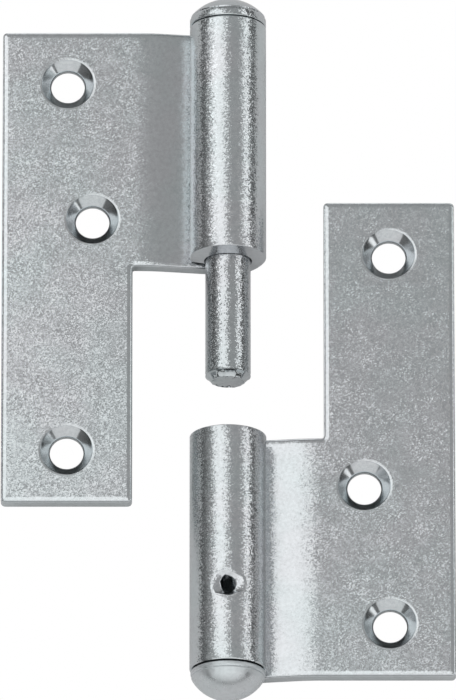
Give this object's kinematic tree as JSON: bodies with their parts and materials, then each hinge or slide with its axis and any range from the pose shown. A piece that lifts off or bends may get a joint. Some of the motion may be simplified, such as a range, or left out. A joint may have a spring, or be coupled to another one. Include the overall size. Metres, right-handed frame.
{
  "type": "lift-off door hinge",
  "caption": "Lift-off door hinge with two flat screw-on leaves, rolled knuckles, a fixed headed pin and an open socket closed by a domed plug.",
  "frame": {"origin": "middle of the open hinge across and along, level with the backs of the knuckles, on which it lies", "axes": "+Y along the pin axis, from the plug towards the pin's head; +X from the pin axis towards the socket leaf's outer edge; +Z out of the front faces of the leaves"},
  "size_m": [0.09, 0.1478, 0.0152],
  "materials": {
    "leaf_zinc": "zinc plated, satin",
    "pin_zinc": "zinc plated, bright",
    "plug_zinc": "zinc plated, bright"
  },
  "bodies": {
    "socket_side": {"socket_leaf": "leaf_zinc", "socket_plug": "plug_zinc"},
    "pin": {"hinge_pin": "pin_zinc"},
    "pin_side": {"pin_leaf": "leaf_zinc"}
  },
  "joints": [
    {"name": "lift_off", "type": "slide", "parent": "socket_side", "child": "pin", "axis": [0, 1, 0], "range_m": [-0.0364, 0]},
    {"name": "leaf_swing", "type": "hinge", "parent": "pin", "child": "pin_side", "pos_m": [0, 0, 0.0076], "axis": [0, 1, 0], "range_deg": [-145, 180]}
  ]
}
